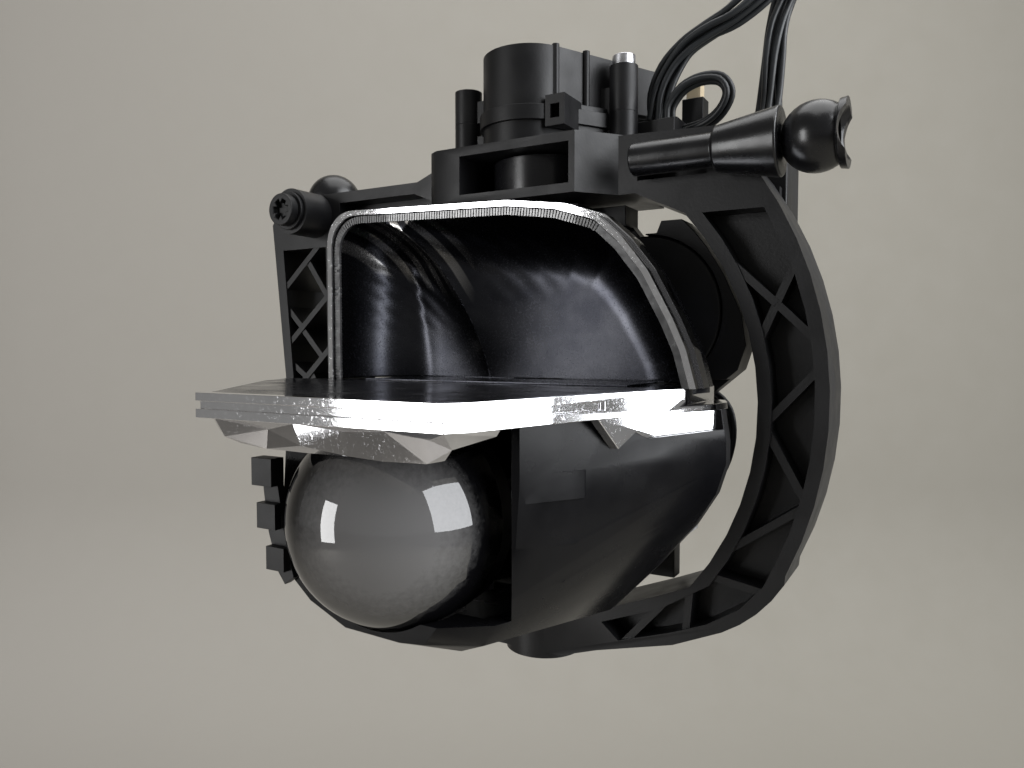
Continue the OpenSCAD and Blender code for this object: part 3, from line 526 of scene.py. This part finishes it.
teeth_group, given, result, teeth_keys = node_group("prism_teeth", (
    ("Count", "NodeSocketInt"), ("Tooth", "NodeSocketVector"), ("Material", "NodeSocketMaterial")))
nodes = teeth_group.nodes
as_curve = nodes.new("GeometryNodeMeshToCurve")
spaced = nodes.new("GeometryNodeResampleCurve")
tooth = nodes.new("GeometryNodeMeshCube")
placed = nodes.new("GeometryNodeInstanceOnPoints")
aligned = nodes.new("FunctionNodeAlignRotationToVector")
tangent = nodes.new("GeometryNodeInputTangent")
aligned.axis = "Z"
whole = nodes.new("GeometryNodeRealizeInstances")
painted = nodes.new("GeometryNodeSetMaterial")
for a, b in ((given.outputs["Geometry"], as_curve.inputs["Mesh"]),
             (as_curve.outputs["Curve"], spaced.inputs["Curve"]),
             (given.outputs["Count"], spaced.inputs["Count"]),
             (spaced.outputs["Curve"], placed.inputs["Points"]),
             (given.outputs["Tooth"], tooth.inputs["Size"]),
             (tooth.outputs["Mesh"], placed.inputs["Instance"]),
             (tangent.outputs["Tangent"], aligned.inputs["Vector"]),
             (aligned.outputs["Rotation"], placed.inputs["Rotation"]),
             (placed.outputs["Instances"], whole.inputs["Geometry"]),
             (whole.outputs["Geometry"], painted.inputs["Geometry"]),
             (given.outputs["Material"], painted.inputs["Material"]),
             (painted.outputs["Geometry"], result.inputs["Geometry"])):
    link(a, b, teeth_group)
guide_scale, guide_y, guide_base, guide_foot, guide_first = 0.948, -24.4, 61.2, 63.6, 100
guide_run = [Vector((x * guide_scale, guide_y, guide_base + (z - guide_base) * guide_scale)) * mm
             for x, z in rim_curve[guide_first:]
             if guide_base + (z - guide_base) * guide_scale > guide_foot]
tooth_count, tooth_size = 150, (1.5 * mm, 0.7 * mm, 0.42 * mm)
run_mesh = bpy.data.meshes.new("guide_run")
run_mesh.from_pydata(guide_run, [(k, k + 1) for k in range(len(guide_run) - 1)], [])
teeth_mesh = repeated("guide_teeth_run", run_mesh, teeth_group, teeth_keys, {
    "Count": tooth_count, "Tooth": tooth_size, "Material": guide_clear})
strip = bmesh.new()
for part in (teeth_mesh, swept_band("strip", rim_curve, -24.5, -24, 0.935, 0.966)):
    strip.from_mesh(part)
strip_mesh = bpy.data.meshes.new("prism_strip")
strip.to_mesh(strip_mesh)
strip.free()
piece_from("prism_strip", strip_mesh, "module", "light_guide", guide_clear, "light_guide")

# ---------------------------------------------------------------------------
# Shelf. A gloss plate, its colour painted near black as the painted dark reflection of a mirror
# plate, let into a metallised bezel, with a cut-glass look skirt under its nose: flat facets that
# lean in and out by turns, their chrome painted darker as painted shade.
# Painted shade: the plate's colour is near black to stand in for the dark room its mirror face
# reflects.
shelf_gloss_painted_dark = moulded_plastic("shelf_gloss_painted_dark", (0.004, 0.004, 0.005), (0.009, 0.009, 0.01),
                              (0.1, 0.3), 0.0008, 0.00002, 0.25)
softened("shelf_plate", "mirror_shelf", "module", "dark_chrome", shelf_gloss_painted_dark, 0.1)
softened("shelf_bezel", "bright_bezel", "module", "bright_chrome", bright_chrome, 0.4, 3)
# Painted shade: the skirt's chrome is a darker copy of the bezel's, for the shade under the
# shelf's nose.
skirt_chrome_painted_shade = metallised("skirt_chrome_painted_shade", (0.5, 0.5, 0.52), (0.62, 0.62, 0.64), (0.05, 0.2))
skirt_top, skirt_foot, skirt_back_y = 58.95, 54.1, -71.0
upper = [(-24.3, -73.9), (-22, -75.3), (-13, -75.5), (-4, -75.55), (5.1, -75.55), (12.7, -75.5),
         (20.6, -75.5), (24, -75.5), (27.4, -66.2)]
crest = [(-23.4, -73.5, 57.2), (-20.5, -74.6, 56), (-11, -74.1, 57.6), (-3, -75, 55.6),
         (5.1, -74, 58.1), (12.7, -74.1, 58.5), (20.6, -74.2, 57.8), (24.1, -73.7, 56.6),
         (26.8, -66.4, 57.9)]
lower = [(-20, -73, 55.4), (-18, -73.4, 54.9), (-12, -73.5, 54.4), (-3, -73.5, 54.3),
         (5.1, -73.5, 54.4), (11.7, -73.5, skirt_foot), (19.6, -73.4, 54.3), (22, -72.4, 54.8),
         (25.4, -66.6, 57)]
skirt_rows = [[Vector((x, y, skirt_top)) for x, y in upper], [Vector(p) for p in crest],
              [Vector(p) for p in lower],
              [Vector((x * 0.96, max(y, skirt_back_y), z + 0.3)) + Vector((0, 0.2, 0))
               for x, y, z in lower],
              [Vector((x * 0.96, max(y, skirt_back_y) + 0.4, skirt_top)) for x, y in upper]]
facets = bmesh.new()
made = [[facets.verts.new(p * mm) for p in row] for row in skirt_rows]
for low, high in zip(made, made[1:] + made[:1]):
    for k in range(len(upper) - 1):
        corners = (low[k], low[k + 1], high[k + 1], high[k])
        for trio in ((0, 1, 2), (0, 2, 3)) if k % 2 else ((0, 1, 3), (1, 2, 3)):
            facets.faces.new([corners[n] for n in trio])
for end in (0, -1):
    facets.faces.new([row[end] for row in made])
bmesh.ops.recalc_face_normals(facets, faces=facets.faces)
facet_mesh = bpy.data.meshes.new("faceted_skirt")
facets.to_mesh(facet_mesh)
facets.free()
piece_from("faceted_skirt", facet_mesh, "module", "bright_chrome", skirt_chrome_painted_shade, "front_skirt")

# ---------------------------------------------------------------------------
# Ball lens. Solid moulded glass, flattened on top, drawn opaque: its colour is painted near black
# for the black chamber behind it, with a painted milky glow of light that lightens it towards the
# front right, grained by the frosting.
lens_lo, lens_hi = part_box("lens")
lens_r = (lens_hi.x - lens_lo.x) / 2
lens_centre = Vector(((lens_lo.x + lens_hi.x) / 2, lens_lo.y + lens_r, lens_lo.z + lens_r))
lens_glass, tree, shader, where = new_material("lens_glass")
shader.inputs["Coat Weight"].default_value = 1
shader.inputs["Coat Roughness"].default_value = 0.015
shader.inputs["Coat IOR"].default_value = 1.6
shader.inputs["Specular IOR Level"].default_value = 0
# Painted light: the base colour runs from near black to grey towards the front right, where the
# light gathers, with the lens's real frosting grain mixed in.
sight = tree.nodes.new("ShaderNodeVectorMath")
sight.operation = "SUBTRACT"
sight.inputs[1].default_value = lens_centre
link(where, sight.inputs[0], tree)
spread = tree.nodes.new("ShaderNodeVectorMath")
spread.operation = "DOT_PRODUCT"
painted_glow_towards, painted_glow_grain = Vector((0.5, -0.86, 0.05)), 0.22
spread.inputs[1].default_value = painted_glow_towards.normalized() / lens_r
link(sight.outputs["Vector"], spread.inputs[0], tree)
frosting = noise(tree, where, 900, 4, 0.7)
painted_glow = tree.nodes.new("ShaderNodeMath")
painted_glow.operation = "MULTIPLY_ADD"
link(frosting, painted_glow.inputs[0], tree)
painted_glow.inputs[1].default_value = painted_glow_grain
link(spread.outputs["Value"], painted_glow.inputs[2], tree)
link(toned(tree, painted_glow.outputs["Value"], (0.003, 0.003, 0.0035), (0.1, 0.098, 0.098), 0.7, 1.0),
     shader.inputs["Base Color"], tree)
link(ranged(tree, noise(tree, where, 900, 3), 0.25, 0.45), shader.inputs["Roughness"], tree)
softened("lens", "ball_lens", "module", "lens_glass", lens_glass, 0.2)

# ---------------------------------------------------------------------------
# Shroud, louvre blocks and the module's carrier. Black polycarbonate mouldings
# clipped together round the lens, with the light emitters' boards inside.
shroud_black = moulded_plastic("shroud_black", (0.0025, 0.0025, 0.003), (0.0045, 0.0045, 0.0052),
                               (0.2, 0.3), 0.0007, 0.00002, 0.15)
softened("shroud", "lens_shroud", "module", "gloss_black", shroud_black, 0.5, 3)
softened("louvre_ring", "louvre_blocks", "module", "gloss_black", satin_black, 0.3)
softened("module_housing", "module_carrier", "module", "satin_black", satin_black, 0.5)
softened("lens_retainer", "lens_clamp", "module", "satin_black", satin_black, 0.3)
softened("projector_reflector", "projector_bowl", "module", "bright_chrome", bright_chrome, 0.2)
softened("cutoff_shade", "beam_shade", "module", "steel", zinc_steel, 0.15)
softened("led_boards", "emitter_boards", "module", "board", green_board, 0.1)
yellow_chip = moulded_plastic("yellow_phosphor", (0.7, 0.5, 0.08), (0.8, 0.62, 0.12), (0.3, 0.4),
                              0.001, 0.00002)
softened("led_chips", "emitters", "module", "chip", yellow_chip, 0.1)
softened("rear_bulkhead", "round_bulkhead", "module", "satin_black", satin_black, 0.6, 3)

# ---------------------------------------------------------------------------
# Cooling. A die-cast aluminium sink with thirteen fins, and behind it an axial
# fan in a square plastic frame, held by four pan-head screws.
cast_aluminium = turned_metal("cast_aluminium", (0.42, 0.43, 0.45), (0.35, 0.55))
sink_lo, sink_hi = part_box("heat_sink")
plate_back_y, fin_t, fin_pitch, fin_count = 10 * mm, 1.4 * mm, 4.75 * mm, 13
fin_size = Vector((sink_hi.z - sink_lo.z, sink_hi.y - plate_back_y + mm, fin_t))
fin_middle = Vector((0, sink_hi.y - fin_size.y / 2, (sink_lo.z + sink_hi.z) / 2))
fin_line = bpy.data.meshes.new("fin_line")
fin_line.from_pydata([fin_middle + Vector((s * (fin_count - 1) / 2 * fin_pitch, 0, 0))
                      for s in (-1, 1)], [(0, 1)],
                     [])
fins = repeated("fins", fin_line, teeth_group, teeth_keys, {
    "Count": fin_count, "Tooth": fin_size, "Material": cast_aluminium})
sink = bmesh.new()
sink.from_mesh(fins)
plate_hi = Vector((sink_hi.x, plate_back_y, sink_hi.z))
bmesh.ops.create_cube(sink, size=1, matrix=Matrix.LocRotScale(
    (sink_lo + plate_hi) / 2, None, plate_hi - sink_lo))
sink_mesh = bpy.data.meshes.new("finned_sink")
sink.to_mesh(sink_mesh)
sink.free()
finned_sink = piece_from("finned_sink", sink_mesh, "module", "aluminium", cast_aluminium,
                         "heat_sink")
cast_edges = finned_sink.modifiers.new("rounded", "BEVEL")
cast_edges.width, cast_edges.segments = 0.25 * mm, 2
softened("fan_housing", "fan_frame", "module", "satin_black", satin_black, 0.4)

# One pattern object set on every vertex, each turned a step further about Y.
copies_group, given, result, copies_keys = node_group("copies", (
    ("Pattern", "NodeSocketObject"), ("Turn", "NodeSocketFloat"),
    ("Material", "NodeSocketMaterial")))
nodes = copies_group.nodes
pattern = nodes.new("GeometryNodeObjectInfo")
number = nodes.new("GeometryNodeInputIndex")
angle = nodes.new("ShaderNodeMath")
angle.operation = "MULTIPLY"
turn_y = nodes.new("ShaderNodeCombineXYZ")
as_turn = nodes.new("FunctionNodeEulerToRotation")
placed = nodes.new("GeometryNodeInstanceOnPoints")
whole = nodes.new("GeometryNodeRealizeInstances")
painted = nodes.new("GeometryNodeSetMaterial")
for a, b in ((given.outputs["Pattern"], pattern.inputs["Object"]),
             (number.outputs["Index"], angle.inputs[0]),
             (given.outputs["Turn"], angle.inputs[1]),
             (angle.outputs["Value"], turn_y.inputs["Y"]),
             (turn_y.outputs["Vector"], as_turn.inputs["Euler"]),
             (as_turn.outputs["Rotation"], placed.inputs["Rotation"]),
             (given.outputs["Geometry"], placed.inputs["Points"]),
             (pattern.outputs["Geometry"], placed.inputs["Instance"]),
             (placed.outputs["Instances"], whole.inputs["Geometry"]),
             (whole.outputs["Geometry"], painted.inputs["Geometry"]),
             (given.outputs["Material"], painted.inputs["Material"]),
             (painted.outputs["Geometry"], result.inputs["Geometry"])):
    link(a, b, copies_group)


def turned_mesh(name, profile, sides=32):
    """A solid of revolution about Y, from (radius, y) points that start and end on the axis."""
    build = bmesh.new()
    rings = []
    for radius, y in profile:
        if radius == 0:
            rings.append([build.verts.new((0, y, 0))] * sides)
        else:
            rings.append([build.verts.new((radius * math.cos(2 * math.pi * k / sides), y,
                                           radius * math.sin(2 * math.pi * k / sides)))
                          for k in range(sides)])
    for low, high in zip(rings, rings[1:]):
        for k in range(sides):
            n = (k + 1) % sides
            build.faces.new(dict.fromkeys((low[k], low[n], high[n], high[k])))
    bmesh.ops.recalc_face_normals(build, faces=build.faces)
    sharpened(build)
    mesh = bpy.data.meshes.new(name)
    build.to_mesh(mesh)
    build.free()
    return mesh


def copied(name, pattern_mesh, places, turn, material):
    """The pattern at each place, as one plain mesh made by the copies group."""
    holder = bpy.data.objects.new(name + "_pattern", pattern_mesh)
    spots = bpy.data.meshes.new(name + "_spots")
    spots.from_pydata(places, [], [])
    made = repeated(name, spots, copies_group, copies_keys, {
        "Pattern": holder, "Turn": turn, "Material": material})
    bpy.data.objects.remove(holder)
    return made


rotor_lo, rotor_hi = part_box("fan_rotor")
blade_count, hub_r, axle_r = 7, 8.5 * mm, 1.0 * mm
fan_reach = (rotor_hi.x - rotor_lo.x) / 2
fan_middle = (rotor_lo + rotor_hi) / 2
hub_front, hub_back = rotor_lo.y + 0.2 * mm, rotor_hi.y
blade = bmesh.new()
for i in range(13):
    out = hub_r - mm + (fan_reach - 0.4 * mm - hub_r + mm) * i / 12
    for j in range(9):
        along = -1 + j / 4
        pitch = math.radians(40 - 12 * i / 12)
        half, camber = 3.9 * mm, 0.5 * mm * (1 - along * along)
        for skin in (-0.5, 0.5):
            lift = camber + skin * mm * (1 - 0.55 * abs(along))
            blade.verts.new((half * along * math.cos(pitch) - lift * math.sin(pitch),
                             half * along * math.sin(pitch) * 0.85 + lift * math.cos(pitch), out))
blade.verts.ensure_lookup_table()


def blade_vert(i, j, skin):
    return blade.verts[(i * 9 + j) * 2 + skin]


for i in range(12):
    for j in range(8):
        for skin in (0, 1):
            blade.faces.new([blade_vert(i, j, skin), blade_vert(i + 1, j, skin),
                             blade_vert(i + 1, j + 1, skin), blade_vert(i, j + 1, skin)])
    for j in (0, 8):
        blade.faces.new([blade_vert(i, j, 0), blade_vert(i + 1, j, 0), blade_vert(i + 1, j, 1),
                         blade_vert(i, j, 1)])
for i in (0, 12):
    for j in range(8):
        blade.faces.new([blade_vert(i, j, 0), blade_vert(i, j + 1, 0), blade_vert(i, j + 1, 1),
                         blade_vert(i, j, 1)])
bmesh.ops.recalc_face_normals(blade, faces=blade.faces)
sharpened(blade)
blade_mesh = bpy.data.meshes.new("blade")
blade.to_mesh(blade_mesh)
blade.free()
rotor = bmesh.new()
rotor.from_mesh(copied("blades", blade_mesh, [(0, 0, 0)] * blade_count,
                       2 * math.pi / blade_count, satin_black))
hub_half = (hub_back - hub_front) / 2
rotor.from_mesh(turned_mesh("hub", [
    (axle_r, hub_half), (hub_r - 0.6 * mm, hub_half), (hub_r, hub_half - 0.6 * mm),
    (hub_r, -hub_half + 0.3 * mm), (hub_r - 0.3 * mm, -hub_half), (axle_r, -hub_half),
    (axle_r, hub_half)], 48))
for vert in rotor.verts:
    vert.co += Vector((fan_middle.x, (hub_front + hub_back) / 2, fan_middle.z))
rotor_mesh = bpy.data.meshes.new("fan_blades")
rotor.to_mesh(rotor_mesh)
rotor.free()
piece_from("fan_blades", rotor_mesh, "fan", "satin_black", satin_black, "fan_rotor")

screws_lo, screws_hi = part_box("module_screws")
head_r, head_t, shank_r = 2.6 * mm, 1.8 * mm, 1.5 * mm
screw_length = screws_hi.y - screws_lo.y
screw_mesh = turned_mesh("screw", [
    (0, 0), (shank_r, 0), (shank_r, screw_length - head_t), (head_r, screw_length - head_t),
    (head_r, screw_length - 0.7 * mm), (head_r - 0.5 * mm, screw_length - 0.15 * mm),
    (1.4 * mm, screw_length), (1.1 * mm, screw_length), (0.9 * mm, screw_length - mm),
    (0, screw_length - 1.1 * mm)])
screw_spots = [(x, screws_lo.y, z) for x in (screws_lo.x + head_r, screws_hi.x - head_r)
               for z in (screws_lo.z + head_r, screws_hi.z - head_r)]
piece_from("sink_screws", copied("sink_screws", screw_mesh, screw_spots, 0.0, zinc_steel),
           "module", "steel", zinc_steel, "module_screws")

# ---------------------------------------------------------------------------
# Studio. A pale wall and floor in one sweep, painted a little greyer to the right as painted
# shade, lit by a soft panel overhead, a narrow one at the front left and a broad one at the right,
# whose reflections the ball lens shows.
world = bpy.data.worlds.new("room")
world.use_nodes = True
world.node_tree.nodes["Background"].inputs["Color"].default_value = (0.9, 0.89, 0.86, 1)
world.node_tree.nodes["Background"].inputs["Strength"].default_value = 0.22
bpy.context.scene.world = world
bpy.context.scene.view_settings.view_transform = "Standard"


def softbox(name, place, target, wide, tall, power, colour=(1, 1, 1)):
    data = bpy.data.lights.new(name, "AREA")
    data.shape, data.size, data.size_y = "RECTANGLE", wide, tall
    data.energy, data.color = power, colour
    lamp = bpy.data.objects.new(name, data)
    lamp.location = place
    lamp.rotation_euler = (Vector(target) - Vector(place)).to_track_quat("-Z", "Y").to_euler()
    bpy.context.collection.objects.link(lamp)


softbox("front_window", (-0.58, -0.94, 0.05), (0, 0, 0.06), 0.3, 0.6, 6)
softbox("side_window", (0.79, 0.04, 0.36), (0, -0.05, 0.04), 0.8, 0.95, 18, (0.95, 0.97, 1))
softbox("ceiling", (0.1, 0.1, 1.1), (0, 0, 0.05), 1.2, 1.2, 12.5)

floor_depth, wall_back, sweep_r, half_width = -0.35, 0.75, 0.25, 3.0
profile = [(-3.0, floor_depth)]
profile += [(wall_back - sweep_r + sweep_r * math.sin(a), floor_depth + sweep_r
             - sweep_r * math.cos(a)) for a in [math.pi / 2 * k / 16 for k in range(17)]]
profile += [(wall_back, 2.5)]
turned = Matrix.Rotation(camera_turn, 3, "Z")
rows = [[turned @ Vector((x, y, z)) for y, z in profile] for x in (-half_width, half_width)]
backdrop = bpy.data.objects.new("backdrop", grid_mesh("backdrop", rows))
bpy.context.collection.objects.link(backdrop)
wall_paint, tree, shader, where = new_material("wall_paint")
# Painted shade: the wall's colour darkens towards the right, with a faint mottle.
along_wall = tree.nodes.new("ShaderNodeVectorMath")
along_wall.operation = "DOT_PRODUCT"
along_wall.inputs[1].default_value = turned @ Vector((-1, 0, 0))
link(where, along_wall.inputs[0], tree)
mottle = tree.nodes.new("ShaderNodeMath")
mottle.operation = "MULTIPLY_ADD"
mottle_depth = 0.03
mottle.inputs[1].default_value = mottle_depth
link(noise(tree, where, 6, 3), mottle.inputs[0], tree)
link(along_wall.outputs["Value"], mottle.inputs[2], tree)
painted_wall_shade = ranged(tree, mottle.outputs["Value"], 0, 1, -0.25, 0.6)
link(toned(tree, painted_wall_shade, (0.246, 0.232, 0.2), (0.326, 0.307, 0.277), 0, 1),
     shader.inputs["Base Color"], tree)
link(ranged(tree, noise(tree, where, 30, 3), 0.7, 0.85), shader.inputs["Roughness"], tree)
backdrop.data.materials.append(wall_paint)
